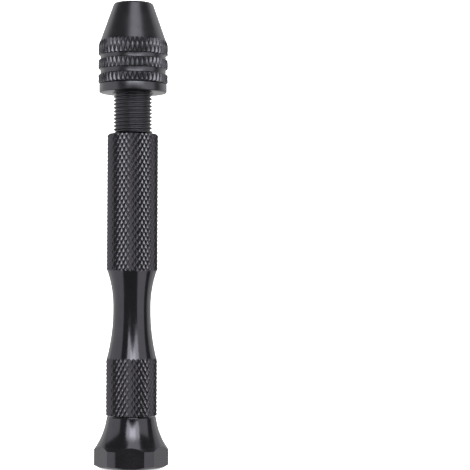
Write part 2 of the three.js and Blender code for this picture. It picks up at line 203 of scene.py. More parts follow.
class Studio(bpy.types.PropertyGroup):
    """Camera, lights and floor"""

    distance: length("Distance", "From the camera to the drill's axis", 347)
    height: length("Height", "Height of the camera", 37.4)
    side: length("Side", "How far the camera stands to the right of the drill", 21.05)
    aim: length("Aim", "Height that the camera aims at", 47.42)
    view: angle("View", "Angle that the camera takes in", 15.8)
    roll: angle("Roll", "How far the camera is rolled anticlockwise", 0.2)
    turn: angle("Turn", "How far camera and lights are turned round the drill", -2.17)
    key: level("Key", "Radiance of the high front softbox", 5.6)
    side_light: level("Side light", "Radiance of the left and right softboxes", 1.5)
    rim: level("Rim", "Radiance of the strips behind the drill", 1.15)
    back: level("Back", "Radiance of the screen behind the drill", 0.5)
    surround: level("Surround", "Radiance of the rest of the room", 0.3)
    floor_glow: level("Floor glow", "Light that the floor and backdrop give off", 0.8)


# --- Mesh helpers ---------------------------------------------------------------------------------


def arc(start, end, radius, steps):
    """Points of a hollow arc from start to end on a profile that runs up the outside."""
    start, end = Vector(start), Vector(end)
    chord = end - start
    half = chord.length / 2
    to_centre = Vector((chord.y, -chord.x)).normalized() * math.sqrt(radius**2 - half**2)
    centre = (start + end) / 2 + to_centre
    sweep = -2 * math.asin(half / radius)
    points = []
    for i in range(steps + 1):
        turn = Matrix.Rotation(sweep * i / steps, 2)
        points.append(tuple(centre + turn @ (start - centre)))
    return points


def smooth_arc_radius(outward, rise):
    """Radius of the arc that leaves a straight wall smoothly and moves this far out over this height."""
    return (outward**2 + rise**2) / (2 * outward)


def broken_corners(profile, steps=4):
    """A profile with the corners rounded that carry a rounding radius as their third number."""
    points = []
    for i, (radius, height, *rounding) in enumerate(profile):
        corner = Vector((radius, height))
        if not rounding:
            points.append(tuple(corner))
            continue
        before = (Vector(profile[i - 1][:2]) - corner).normalized()
        after = (Vector(profile[(i + 1) % len(profile)][:2]) - corner).normalized()
        half = before.angle(after) / 2
        centre = corner + (before + after).normalized() * rounding[0] / math.sin(half)
        start = corner + before * rounding[0] / math.tan(half) - centre
        side = 1 if before.cross(after) < 0 else -1
        for k in range(steps + 1):
            sweep = side * (math.pi - 2 * half) * k / steps
            points.append(tuple(centre + Matrix.Rotation(sweep, 2) @ start))
    return points


def turned(name, profile, segments=STOCK_SEGMENTS):
    """A closed mesh turned about Z. The profile of (radius, height) points runs anticlockwise and is closed,
    either along the axis or back to its first point. A third number rounds that corner."""
    profile = broken_corners(profile)
    on_axis = [abs(radius) < 1e-9 for radius, _ in profile]
    vertices, rings = [], []
    for (radius, height), pole in zip(profile, on_axis):
        if pole:
            rings.append([len(vertices)] * segments)
            vertices.append((0, 0, height))
            continue
        rings.append(range(len(vertices), len(vertices) + segments))
        for i in range(segments):
            angle = 2 * math.pi * i / segments
            vertices.append((radius * math.cos(angle), radius * math.sin(angle), height))
    faces = []
    for k, lower in enumerate(rings):
        upper = rings[(k + 1) % len(rings)]
        if on_axis[k] and on_axis[(k + 1) % len(rings)]:
            continue
        for i in range(segments):
            j = (i + 1) % segments
            corners = (lower[i], lower[j], upper[j], upper[i])
            faces.append(tuple(dict.fromkeys(corners)))
    mesh = bpy.data.meshes.new(name)
    mesh.from_pydata(vertices, [], faces)
    piece = bpy.data.objects.new(name, mesh)
    bpy.context.scene.collection.objects.link(piece)
    return piece


def add_node(tree, kind, inputs=None, **settings):
    """Add a node with its settings. Each input is given by name or number, as a constant, or as a socket or
    Value to link."""
    node = tree.nodes.new(kind)
    for name, value in settings.items():
        setattr(node, name, value)
    for key, value in (inputs or {}).items():
        value = getattr(value, "socket", value)
        if isinstance(value, bpy.types.NodeSocket):
            tree.links.new(value, node.inputs[key])
        else:
            node.inputs[key].default_value = value
    return node


def machine(piece, tree, material, **values):
    """Run a geometry tree on a piece and keep the result as its plain mesh."""
    modifier = piece.modifiers.new(tree.name, "NODES")
    modifier.node_group = tree
    wanted = {name.replace("_", " ").title(): value for name, value in values.items()}
    wanted["Material"] = material
    for item in tree.interface.items_tree:
        if item.in_out == "INPUT" and item.name in wanted:
            modifier[item.identifier] = wanted.pop(item.name)
    if wanted:
        raise RuntimeError(f"{tree.name} has no input {sorted(wanted)}")
    return settle(piece)


def settle(piece):
    """Turn a piece and its modifiers into a plain mesh."""
    graph = bpy.context.evaluated_depsgraph_get()
    result = bpy.data.meshes.new_from_object(piece.evaluated_get(graph), depsgraph=graph)
    work = ", ".join(modifier.name for modifier in piece.modifiers)
    piece.modifiers.clear()
    if len(result.polygons) == 0:
        raise RuntimeError(f"{work} left nothing of {piece.name}")
    piece.data = result
    return piece


def carve(piece, cutter, operation="DIFFERENCE"):
    """Cut a piece with a closed cutter, or keep only what they share. The cutter is used up."""
    modifier = piece.modifiers.new("Carve", "BOOLEAN")
    modifier.object = cutter
    modifier.operation = operation
    modifier.solver = "MANIFOLD"
    settle(piece)
    bpy.data.objects.remove(cutter)
    return piece


def prism(name, outline, bottom, top):
    """A closed upright prism. The outline of (x, y) points runs anticlockwise."""
    n = len(outline)
    vertices = [(x, y, z) for z in (bottom, top) for x, y in outline]
    faces = [tuple(reversed(range(n))), tuple(range(n, 2 * n))]
    faces += [(i, (i + 1) % n, n + (i + 1) % n, n + i) for i in range(n)]
    mesh = bpy.data.meshes.new(name)
    mesh.from_pydata(vertices, [], faces)
    piece = bpy.data.objects.new(name, mesh)
    bpy.context.scene.collection.objects.link(piece)
    return piece


def dress(piece, material, *others):
    """Give a piece its material. Each other one comes with a test, and goes to the faces whose centre's
    radius and height pass it."""
    mesh = piece.data
    mesh.materials.clear()
    mesh.materials.append(material)
    for other, _ in others:
        mesh.materials.append(other)
    for face in mesh.polygons:
        radius, height = math.hypot(face.center.x, face.center.y), face.center.z
        passed = (slot for slot, (_, where) in enumerate(others, 1) if where(radius, height))
        face.material_index = next(passed, 0)


def hand_over(piece, body, slot, *nodes, crease=30):
    """Clean a finished piece's mesh, smooth it up to a crease angle, and let it stand for its CAD nodes."""
    speck = 0.0005 * MM
    mesh = bmesh.new()
    mesh.from_mesh(piece.data)
    bmesh.ops.remove_doubles(mesh, verts=mesh.verts, dist=speck)
    bmesh.ops.dissolve_degenerate(mesh, edges=mesh.edges, dist=speck)
    mesh.to_mesh(piece.data)
    mesh.free()
    piece.data.shade_smooth()
    piece.data.set_sharp_from_angle(angle=math.radians(crease))
    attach(piece, body)
    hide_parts(*nodes)


# --- Geometry trees -------------------------------------------------------------------------------

WELD = 0.002 * MM


class Value:
    """A number in a node tree. The usual signs work on it, and each adds a Math node."""

    def __init__(self, socket):
        self.socket = socket

    def maths(self, operation, other=0.0, swapped=False):
        pair = {0: other, 1: self} if swapped else {0: self, 1: other}
        return Value(add_node(self.socket.id_data, "ShaderNodeMath", pair, operation=operation).outputs[0])

    def __add__(self, other):
        return self.maths("ADD", other)

    def __sub__(self, other):
        return self.maths("SUBTRACT", other)

    def __rsub__(self, other):
        return self.maths("SUBTRACT", other, swapped=True)

    def __mul__(self, other):
        return self.maths("MULTIPLY", other)

    def __truediv__(self, other):
        return self.maths("DIVIDE", other)

    def __rtruediv__(self, other):
        return self.maths("DIVIDE", other, swapped=True)

    def __pow__(self, other):
        return self.maths("POWER", other)

    def __mod__(self, other):
        return self.maths("FLOORED_MODULO", other)

    def __abs__(self):
        return self.maths("ABSOLUTE")


def shape_tree(name, sizes):
    """A geometry tree that takes the stock, the sizes, which come with their defaults, and a material.
    Returns the tree and its inputs."""
    tree = bpy.data.node_groups.new(name, "GeometryNodeTree")
    tree.interface.new_socket("Stock", in_out="INPUT", socket_type="NodeSocketGeometry")
    for size, default in sizes.items():
        kind = "NodeSocketInt" if isinstance(default, int) else "NodeSocketFloat"
        tree.interface.new_socket(size, in_out="INPUT", socket_type=kind).default_value = default
    tree.interface.new_socket("Material", in_out="INPUT", socket_type="NodeSocketMaterial")
    tree.interface.new_socket("Piece", in_out="OUTPUT", socket_type="NodeSocketGeometry")
    sockets = tree.nodes.new("NodeGroupInput").outputs
    given = {socket.name.lower().replace(" ", "_"): Value(socket) for socket in sockets if socket.name}
    return tree, SimpleNamespace(**given)


def end_tree(tree, given, geometry):
    """Close a tree with its real geometry and material."""
    real = add_node(tree, "GeometryNodeRealizeInstances", {"Geometry": geometry}).outputs[0]
    dressed = add_node(tree, "GeometryNodeSetMaterial", {"Geometry": real, "Material": given.material})
    add_node(tree, "NodeGroupOutput", {"Piece": dressed.outputs[0]})
    return tree


def own_place(tree):
    """The x, y and z of each point of the mesh at hand."""
    position = add_node(tree, "GeometryNodeInputPosition").outputs[0]
    return [Value(socket) for socket in add_node(tree, "ShaderNodeSeparateXYZ", {0: position}).outputs]


def kept(tree, name):
    """A number that an earlier node stored on the mesh."""
    number = add_node(tree, "GeometryNodeInputNamedAttribute", {"Name": name}, data_type="FLOAT")
    return Value(number.outputs[0])


def place(tree, geometry, x, y, z, chosen=True):
    """Put the chosen points of a mesh at a new place."""
    position = add_node(tree, "ShaderNodeCombineXYZ", {"X": x, "Y": y, "Z": z}).outputs[0]
    moved = {"Geometry": geometry, "Selection": chosen, "Position": position}
    return add_node(tree, "GeometryNodeSetPosition", moved).outputs[0]


def weld(tree, geometry):
    return add_node(tree, "GeometryNodeMergeByDistance", {"Geometry": geometry, "Distance": WELD}).outputs[0]


def close_ends(tree, geometry, x, y, z):
    """Draw a mesh's open edges to a point each end."""
    sides = add_node(tree, "GeometryNodeInputMeshEdgeNeighbors").outputs[0]
    rim = add_node(tree, "FunctionNodeCompare", {2: sides, 3: 1}, data_type="INT", operation="EQUAL")
    drawn = {"Mesh": geometry, "Selection": rim.outputs[0], "Offset Scale": 0.0}
    ends = add_node(tree, "GeometryNodeExtrudeMesh", drawn, mode="EDGES").outputs
    return weld(tree, place(tree, ends["Mesh"], x, y, z, ends["Top"]))


def take_off(tree, stock, cutter):
    """The stock less the cutter."""
    meshes = {"Mesh 1": stock, "Mesh 2": cutter}
    left = add_node(tree, "GeometryNodeMeshBoolean", meshes, operation="DIFFERENCE", solver="MANIFOLD")
    return left.outputs[0]


def knurl_tree():
    """Cuts a diamond knurl: what lies outside a blank of pyramids is taken off the stock.

    Detail is how often a diamond's faces are split. Valley is the share of a diamond that a groove's flat
    bottom takes, and a Power above 1 rounds its slopes.
    """
    tree, given = shape_tree(
        "Diamond Knurl",
        {
            "Around": 36, "Detail": 1, "Pitch": 1.6 * MM, "Bottom": 0.0, "Top": 10 * MM, "Root": 5 * MM,
            "Rise": 0.4 * MM, "Valley": 0.0, "Power": 1.0, "Taper Bottom": 10 * MM, "Taper Root": 5 * MM,
        },
    )
    x, y, z = own_place(tree)

    # One diamond, a unit high and wide, with the pyramid's height kept as an attribute
    fan = add_node(
        tree, "GeometryNodeMeshCircle", {"Vertices": 4, "Radius": 0.5}, fill_type="TRIANGLE_FAN"
    ).outputs[0]
    fan = add_node(tree, "GeometryNodeSubdivideMesh", {"Mesh": fan, "Level": given.detail}).outputs[0]
    slope = (abs(x) + abs(y)) * 2.0 / (1.0 - given.valley)
    lift = (1.0 - slope**given.power).maths("MAXIMUM", 0.0)
    diamond = add_node(
        tree, "GeometryNodeStoreNamedAttribute", {"Geometry": fan, "Name": "lift", "Value": lift}
    ).outputs[0]

    # Rows of diamonds on a flat sheet, every other row half a diamond on
    span = given.top - given.bottom
    spare_rows = 5.0
    rows = (span / given.pitch * 2.0).maths("CEIL") + spare_rows
    half_rows = (rows - 1.0) / 2.0
    sheet = add_node(
        tree, "GeometryNodeMeshGrid",
        {"Size X": given.around - 1.0, "Size Y": half_rows, "Vertices X": given.around, "Vertices Y": rows},
    ).outputs[0]
    row = (y * 2.0 + half_rows).maths("ROUND")
    points = place(tree, sheet, x + row % 2.0 * 0.5, row / 2.0, 0.0)
    copies = add_node(tree, "GeometryNodeInstanceOnPoints", {"Points": points, "Instance": diamond})
    net = add_node(tree, "GeometryNodeRealizeInstances", {0: copies.outputs[0]}).outputs[0]

    # The sheet rolled round the axis. The root follows a taper where the stock has one.
    angle = x * (2 * math.pi) / given.around
    height = (y - 1.0) * given.pitch + given.bottom
    root = add_node(
        tree, "ShaderNodeMapRange",
        {"Value": height, 1: given.taper_bottom, 2: given.top, 3: given.root, 4: given.taper_root},
    ).outputs[0]
    radius = Value(root) + kept(tree, "lift") * given.rise
    x_rolled, y_rolled = radius * angle.maths("COSINE"), radius * angle.maths("SINE")
    rolled = weld(tree, place(tree, net, x_rolled, y_rolled, height))

    # Both zigzag ends closed to a point on the axis, well clear of the knurl
    middle = (given.top + given.bottom) / 2.0
    upper = z.maths("GREATER_THAN", middle)
    beyond = (upper - 0.5) * (given.pitch * 4.0)
    blank = close_ends(tree, rolled, 0.0, 0.0, given.bottom + upper * span + beyond)

    # A plain collar less the blank leaves the cutter
    collar = add_node(
        tree, "GeometryNodeMeshCylinder", {"Vertices": 64, "Radius": given.root * 1.5, "Depth": span}
    ).outputs[0]
    seat = add_node(tree, "ShaderNodeCombineXYZ", {"Z": middle}).outputs[0]
    collar = add_node(tree, "GeometryNodeTransform", {"Geometry": collar, "Translation": seat}).outputs[0]
    return end_tree(tree, given, take_off(tree, given.stock, take_off(tree, collar, blank)))


def thread_tree():
    """Cuts a right-hand thread: a helical groove with a flat root is taken off the stock."""
    tree, given = shape_tree(
        "Cut Thread",
        {"Pitch": 0.75 * MM, "Start": 0.0, "Turns": 10.0, "Crest": 3.9 * MM, "Root": 3.5 * MM},
    )
    flank_angle = math.radians(30)
    steps_a_turn = 72

    # A flat sheet: turns along x, the groove's four corners and back to the first along y
    along = given.turns * steps_a_turn + 1.0
    sheet = add_node(
        tree, "GeometryNodeMeshGrid",
        {"Size X": given.turns, "Size Y": 4.0, "Vertices X": along, "Vertices Y": 5},
    ).outputs[0]
    x, y, _ = own_place(tree)
    turn = x + given.turns / 2.0
    sheet = add_node(
        tree, "GeometryNodeStoreNamedAttribute", {"Geometry": sheet, "Name": "turn", "Value": turn}
    ).outputs[0]
    corner = y + 2.0
    outer = abs(corner - 1.5).maths("LESS_THAN", 1.0)
    upper = abs(corner - 2.5).maths("LESS_THAN", 1.0)
    outside = given.crest + given.pitch / 8.0
    depth = outside - given.root
    half = given.pitch / 14.0 + outer * (depth * math.tan(flank_angle))
    lift = (upper - 0.5) * 2.0 * half

    def helix(turn, radius, lift):
        angle = turn * (2 * math.pi)
        height = given.start + turn * given.pitch + lift
        return radius * angle.maths("COSINE"), radius * angle.maths("SINE"), height

    tube = weld(tree, place(tree, sheet, *helix(turn, given.root + outer * depth, lift)))

    # Both ends closed to a point in the middle of the groove's own section
    cutter = close_ends(tree, tube, *helix(kept(tree, "turn"), given.root + depth * 0.5, 0.0))
    return end_tree(tree, given, take_off(tree, given.stock, cutter))


def flats_tree():
    """Mills flats round the stock: it keeps only what lies inside a prism."""
    tree, given = shape_tree("Mill Flats", {"Count": 6, "Across": 14 * MM})
    corner_radius = given.across / 2.0 / (math.pi / given.count).maths("COSINE")
    bar = add_node(
        tree, "GeometryNodeMeshCylinder",
        {"Vertices": given.count, "Radius": corner_radius, "Depth": 100 * MM},
    ).outputs[0]
    shared = add_node(
        tree, "GeometryNodeMeshBoolean", {"Mesh 2": given.stock}, operation="INTERSECT", solver="MANIFOLD"
    )
    # Mesh 2 takes any number of meshes, and the link adds the prism to the stock
    tree.links.new(bar, shared.inputs["Mesh 2"])
    return end_tree(tree, given, shared.outputs[0])


def bores_tree():
    """Drills slanted bores round the axis. Each starts at its tip and leans outwards to the rear."""
    tree, given = shape_tree(
        "Slanted Bores",
        {
            "Count": 3, "Radius": 1.4 * MM, "Tip Height": 90 * MM, "Tip Offset": 0.3 * MM, "Tilt": 0.35,
            "Depth": 13 * MM, "Overrun": 2 * MM,
        },
    )
    drill = add_node(
        tree, "GeometryNodeMeshCylinder",
        {"Vertices": 64, "Radius": given.radius, "Depth": given.depth + given.overrun},
    ).outputs[0]
    back = (given.overrun - given.depth) / 2.0
    shift = add_node(tree, "ShaderNodeCombineXYZ", {"Z": back}).outputs[0]
    drill = add_node(tree, "GeometryNodeTransform", {"Geometry": drill, "Translation": shift}).outputs[0]
    lean = add_node(tree, "ShaderNodeCombineXYZ", {"Y": given.tilt * -1.0}).outputs[0]
    tip = add_node(tree, "ShaderNodeCombineXYZ", {"X": given.tip_offset, "Z": given.tip_height}).outputs[0]
    drill = add_node(
        tree, "GeometryNodeTransform", {"Geometry": drill, "Rotation": lean, "Translation": tip}
    ).outputs[0]
    ring = add_node(tree, "GeometryNodePoints", {"Count": given.count}).outputs[0]
    index = Value(add_node(tree, "GeometryNodeInputIndex").outputs[0])
    around = add_node(tree, "ShaderNodeCombineXYZ", {"Z": index * (2 * math.pi) / given.count}).outputs[0]
    drills = add_node(
        tree, "GeometryNodeInstanceOnPoints", {"Points": ring, "Instance": drill, "Rotation": around}
    ).outputs[0]
    return end_tree(tree, given, take_off(tree, given.stock, drills))


def balls_tree():
    """Sets balls on a circle in place of the stock."""
    tree, given = shape_tree(
        "Ball Set", {"Count": 7, "Circle": 2.75 * MM, "Ball": 0.75 * MM, "Height": 7.4 * MM}
    )
    circle = {"Vertices": given.count, "Radius": given.circle}
    ring = add_node(tree, "GeometryNodeMeshCircle", circle).outputs[0]
    ball = add_node(
        tree, "GeometryNodeMeshUVSphere", {"Segments": 48, "Rings": 24, "Radius": given.ball}
    ).outputs[0]
    balls = add_node(tree, "GeometryNodeInstanceOnPoints", {"Points": ring, "Instance": ball}).outputs[0]
    up = add_node(tree, "ShaderNodeCombineXYZ", {"Z": given.height}).outputs[0]
    real = add_node(tree, "GeometryNodeRealizeInstances", {0: balls}).outputs[0]
    raised = add_node(tree, "GeometryNodeTransform", {"Geometry": real, "Translation": up}).outputs[0]
    return end_tree(tree, given, raised)


# --- Materials ------------------------------------------------------------------------------------


def start_material(name, **shader):
    """A material with its Principled shader set to constants, and the object's own coordinates."""
    material = bpy.data.materials.new(name)
    material.use_nodes = True
    tree = material.node_tree
    tree.nodes.clear()
    values = {key.replace("_", " ").title().replace("Ior", "IOR"): value for key, value in shader.items()}
    principled = add_node(tree, "ShaderNodeBsdfPrincipled", values)
    add_node(tree, "ShaderNodeOutputMaterial", {"Surface": principled.outputs[0]})
    spot = add_node(tree, "ShaderNodeTexCoord").outputs["Object"]
    return material, tree, principled, spot


def shade(tree, factor, dark, light):
    """A colour between two others."""
    ends = {"Factor": factor, 6: (*dark, 1), 7: (*light, 1)}
    return add_node(tree, "ShaderNodeMix", ends, data_type="RGBA").outputs[2]


def darker(colour, by):
    """A colour times a number, which lightens it when it is above 1."""
    return tuple(min(1.0, channel * by) for channel in colour)


def turned_metal(name, base, roughness, spread, marks, ring_pitch, stretch=0.0, wear_and_sheen=None, diffuse_share=0.0):
    """Lathe-turned metal: a tinted mirror with faint rings, blurred along the axis, and a little uneven.

    roughness and spread give the gloss and how far it wanders, marks the depth of the rings, ring_pitch their
    spacing, and stretch how far they draw the highlights out along the axis. wear_and_sheen is the radius
    from which the colour is painted lighter, partly as tip wear and partly as a painted highlight on the
    crests, or
    None. diffuse_share is the share of light that scatters off the surface instead of being mirrored.
    """
    material, tree, principled, spot = start_material(name, metallic=1.0 - diffuse_share, anisotropic=stretch)
    principled.inputs["Anisotropic Rotation"].default_value = 0.25
    around = add_node(tree, "ShaderNodeTangent", direction_type="RADIAL", axis="Z").outputs[0]
    tree.links.new(around, principled.inputs["Tangent"])

    # Blotches about 2 mm across in the dye or oxide
    blotch = add_node(
        tree, "ShaderNodeTexNoise", {"Vector": spot, "Scale": 1 / (2 * MM), "Detail": 3.0, "Roughness": 0.6}
    ).outputs[0]
    tint = shade(tree, blotch, darker(base, 0.86), darker(base, 1.14))
    x, y, z = [Value(socket) for socket in add_node(tree, "ShaderNodeSeparateXYZ", {0: spot}).outputs]
    rings = add_node(
        tree, "ShaderNodeTexNoise", {"W": z * (1 / ring_pitch), "Scale": 1.0, "Detail": 2.0},
        noise_dimensions="1D",
    ).outputs[0]
    gloss = add_node(
        tree, "ShaderNodeMapRange",
        {"Value": blotch, 1: 0.3, 2: 0.7, 3: roughness - spread, 4: roughness + spread},
    ).outputs[0]
    # Painted highlight: from this radius out the colour is painted lighter grey, partly as wear on the tips
    # and partly standing in for light on the crests
    if wear_and_sheen is not None:
        band = 0.06 * MM
        flat = add_node(tree, "ShaderNodeCombineXYZ", {"X": x, "Y": y}).outputs[0]
        reach = add_node(tree, "ShaderNodeVectorMath", {0: flat}, operation="LENGTH").outputs["Value"]
        worn_and_sheen_tips = add_node(
            tree, "ShaderNodeMapRange", {"Value": reach, 1: wear_and_sheen - band, 2: wear_and_sheen, 3: 0.0, 4: 1.0}
        ).outputs[0]
        bare_and_sheen_grey = (*darker(base, 1.8), 1)
        tint = add_node(
            tree, "ShaderNodeMix", {"Factor": Value(worn_and_sheen_tips) * blotch, 6: tint, 7: bare_and_sheen_grey}, data_type="RGBA"
        ).outputs[2]
    tree.links.new(tint, principled.inputs["Base Color"])
    tree.links.new(gloss, principled.inputs["Roughness"])
    bump = add_node(tree, "ShaderNodeBump", {"Strength": 1.0, "Distance": marks, "Height": rings})
    tree.links.new(bump.outputs[0], principled.inputs["Normal"])
    return material


def anodised_turned(finishes):
    # Black-dyed hard oxide on turned aluminium: a deep black with clear, sharp-edged reflections
    return turned_metal(
        "black_anodised_aluminium_turned", finishes.anodised, roughness=0.17, spread=0.03,
        marks=0.0004 * MM, ring_pitch=0.25 * MM, stretch=0.35,
    )


def anodised_knurled(finishes):
    # The same dye over a knurl: each diamond mirrors the lights on its own, so the grip glitters
    return turned_metal(
        "black_anodised_aluminium_knurled", finishes.anodised, roughness=0.2, spread=0.03,
        marks=0.0003 * MM, ring_pitch=0.25 * MM,
    )


def anodised_threaded(finishes):
    # The same dye in a cut thread, with the colour painted lighter and more light scattered: painted light
    # that keeps the self-shaded grooves dark grey
    return turned_metal(
        "black_anodised_aluminium_threaded", darker(finishes.anodised, 1.2), roughness=0.33, spread=0.04,
        marks=0.0003 * MM, ring_pitch=0.25 * MM, diffuse_share=0.16,
    )


def anodised_milled(finishes):
    # The same dye over milled flats: satin, with faint cutter marks
    return turned_metal(
        "black_anodised_aluminium_milled", finishes.anodised, roughness=0.26, spread=0.03,
        marks=0.0005 * MM, ring_pitch=0.3 * MM,
    )


def oxide_turned(finishes):
    # Black oxide on turned steel: an oiled satin grey-black with soft-edged reflections
    return turned_metal(
        "black_oxide_steel_turned", finishes.oxide, roughness=0.3, spread=0.03,
        marks=0.0006 * MM, ring_pitch=0.3 * MM, stretch=0.25,
    )


def oxide_knurled(finishes, crest):
    # Black oxide over a knurl: the same satin, with the tips painted lighter grey, partly as wear and partly
    # as a painted highlight on the crests
    return turned_metal(
        "black_oxide_steel_knurled", finishes.oxide, roughness=0.33, spread=0.04,
        marks=0.0004 * MM, ring_pitch=0.3 * MM, wear_and_sheen=crest, diffuse_share=0.05,
    )


def ground_steel(finishes):
    # Hardened jaw steel, ground: bright grey with fine grinding lines
    return turned_metal(
        "ground_jaw_steel", finishes.jaw, roughness=0.3, spread=0.05,
        marks=0.0006 * MM, ring_pitch=0.12 * MM, stretch=0.3,
    )


def bearing_steel(finishes):
    # Polished chrome steel of a ball bearing: a near mirror with a fine lapped sheen
    return turned_metal(
        "polished_bearing_steel", finishes.bearing, roughness=0.14, spread=0.03,
        marks=0.0002 * MM, ring_pitch=0.15 * MM, stretch=0.2,
    )


def zinc_plate(finishes):
    # Bright zinc plating on steel: pale grey with a slightly cloudy gloss
    return turned_metal(
        "zinc_plated_steel", finishes.zinc, roughness=0.28, spread=0.07,
        marks=0.0004 * MM, ring_pitch=0.2 * MM,
    )


def cage_nylon(finishes):
    # Natural moulded nylon: creamy, waxy and faintly see-through
    material, tree, principled, spot = start_material(
        "natural_moulded_nylon", ior=1.53, subsurface_weight=0.15, subsurface_scale=0.3 * MM
    )
    grain = add_node(
        tree, "ShaderNodeTexNoise", {"Vector": spot, "Scale": 1 / (0.3 * MM), "Detail": 4.0}
    ).outputs[0]
    tint = shade(tree, grain, darker(finishes.nylon, 0.92), darker(finishes.nylon, 1.05))
    tree.links.new(tint, principled.inputs["Base Color"])
    gloss = add_node(tree, "ShaderNodeMapRange", {"Value": grain, 3: 0.42, 4: 0.56}).outputs[0]
    tree.links.new(gloss, principled.inputs["Roughness"])
    bump = add_node(tree, "ShaderNodeBump", {"Strength": 0.5, "Distance": 0.002 * MM, "Height": grain})
    tree.links.new(bump.outputs[0], principled.inputs["Normal"])
    return material


# --- Pieces ---------------------------------------------------------------------------------------


class BuildHandle(bpy.types.Operator):
    """Turn the handle, knurl its two grips and thread its nose"""

    bl_idname = "pinvise.handle"
    bl_label = "Handle"

    def execute(self, context):
        s = context.scene.pinvise_handle
        finishes = context.scene.pinvise_finishes
        boss_bottom = HANDLE_LOW.z
        tap_top = boss_bottom + 6.2 * MM
        nose_end = HANDLE_HIGH.z
        lead = 0.45 * MM
        relief, thread_start = 0.12 * MM, 0.3 * MM
        root = s.grip_radius - s.knurl_depth
        lower_arc = smooth_arc_radius(s.grip_radius - s.waist_radius, s.waist_low - s.lower_grip_top)
        waist_top_radius = s.grip_radius - 0.1 * MM
        upper_arc = smooth_arc_radius(waist_top_radius - s.waist_radius, s.upper_grip_bottom - s.waist_high)
        stock = turned(
            "handle_knurled",
            [
                (0, tap_top + s.tap_radius / 2),
                (s.tap_radius, tap_top),
                (s.tap_radius, boss_bottom),
                (s.boss_radius, boss_bottom),
                (s.boss_radius, s.bottom),
                (s.neck_radius, s.bottom),
                (s.grip_radius, s.bottom + s.grip_radius - s.neck_radius),
                *arc((s.grip_radius, s.lower_grip_top), (s.waist_radius, s.waist_low), lower_arc, 32),
                *arc((s.waist_radius, s.waist_high), (waist_top_radius, s.upper_grip_bottom), upper_arc, 28),
                (s.grip_radius, s.upper_grip_bottom + 0.12 * MM),
                (s.grip_radius, s.shoulder - s.chamfer),
                (s.grip_radius - s.chamfer, s.shoulder, 0.05 * MM),
                (s.thread_root, s.shoulder, 0.05 * MM),
                (s.thread_root, s.shoulder + relief),
                (s.thread_crest, s.shoulder + thread_start),
                (s.thread_crest, nose_end - lead),
                (s.thread_crest - lead, nose_end),
                (0, nose_end),
            ],
        )
        knurl = knurl_tree()
        knurled = anodised_knurled(finishes)
        threaded = anodised_threaded(finishes)

        # Both knurls run out past their grips, so that they fade where the waist falls away
        reach = 0.6 * MM
        over_top = 0.1 * MM
        grips = (
            (s.bottom - reach, s.lower_grip_top + reach),
            (s.upper_grip_bottom - reach, s.shoulder + over_top),
        )
        for bottom, top in grips:
            machine(
                stock, knurl, knurled, around=s.knurl_count, detail=1, pitch=s.knurl_pitch,
                bottom=bottom, top=top, root=root, rise=s.knurl_depth * 1.15, valley=0.17, power=1.0,
                taper_bottom=top, taper_root=root,
            )
        machine(
            stock, thread_tree(), threaded, pitch=s.thread_pitch, start=s.shoulder + relief,
            turns=(nose_end - s.shoulder - relief) / s.thread_pitch + 1,
            crest=s.thread_crest, root=s.thread_root,
        )
        skin = root - 0.01 * MM
        nose_start = s.shoulder + 0.05 * MM

        def on_grip(radius, height):
            return radius > skin and any(low < height < high for low, high in grips)

        dress(
            stock, anodised_turned(finishes),
            (knurled, on_grip),
            (threaded, lambda radius, height: height > nose_start),
        )
        hand_over(stock, "handle_body", "black_anodised_aluminium", "handle")
        return {"FINISHED"}


def jaw_tip():
    """Height where the jaws' slanted axes would reach the front"""
    return CORE_HIGH.z - JAW_FRONT


def jaw_flank(sizes, height):
    """Radius of a jaw's outer flank at a height"""
    back = (jaw_tip() - height) * math.tan(JAW_TILT)
    return JAW_TIP_OFFSET + back + sizes.jaw_radius / math.cos(JAW_TILT)


class BuildChuckBody(bpy.types.Operator):
    """Turn the chuck's body and drill its slanted jaw bores"""

    bl_idname = "pinvise.chuck_body"
    bl_label = "Chuck body"

    def execute(self, context):
        s = context.scene.pinvise_chuck
        rear = CORE_LOW.z
        nose_end = CORE_HIGH.z
        groove_low = NUT_LOW.z - NUT_GAP
        groove_high = NUT_HIGH.z + NUT_GAP
        depth = 0.35 * MM
        edge = 0.3 * MM
        front_shoulder = 5.1 * MM
        stock = turned(
            "chuck_core_turned",
            [
                (s.through_radius, rear + s.tap_depth),
                (s.tap_radius, rear + s.tap_depth),
                (s.tap_radius, rear + edge),
                (s.tap_radius + edge, rear),
                (s.flange_radius, rear, edge),
                (s.flange_radius, rear + s.flange_length, 0.08 * MM),
                (s.core_radius, rear + s.flange_length),
                (s.core_radius, groove_low),
                (jaw_flank(s, groove_low) - depth, groove_low),
                (jaw_flank(s, groove_high) - depth, groove_high),
                (front_shoulder, groove_high),
                (s.nose_radius, nose_end, 0.15 * MM),
                (s.through_radius, nose_end),
            ],
        )
        finish = oxide_turned(context.scene.pinvise_finishes)
        running_gap, bore_depth, overrun = 0.12 * MM, 13.14 * MM, 2 * MM
        machine(
            stock, bores_tree(), finish, count=s.jaw_count, radius=s.jaw_radius + running_gap,
            tip_height=jaw_tip(), tip_offset=JAW_TIP_OFFSET, tilt=JAW_TILT, depth=bore_depth, overrun=overrun,
        )
        dress(stock, finish)
        hand_over(stock, "chuck_core", "black_oxide_steel", "chuck_body")
        return {"FINISHED"}


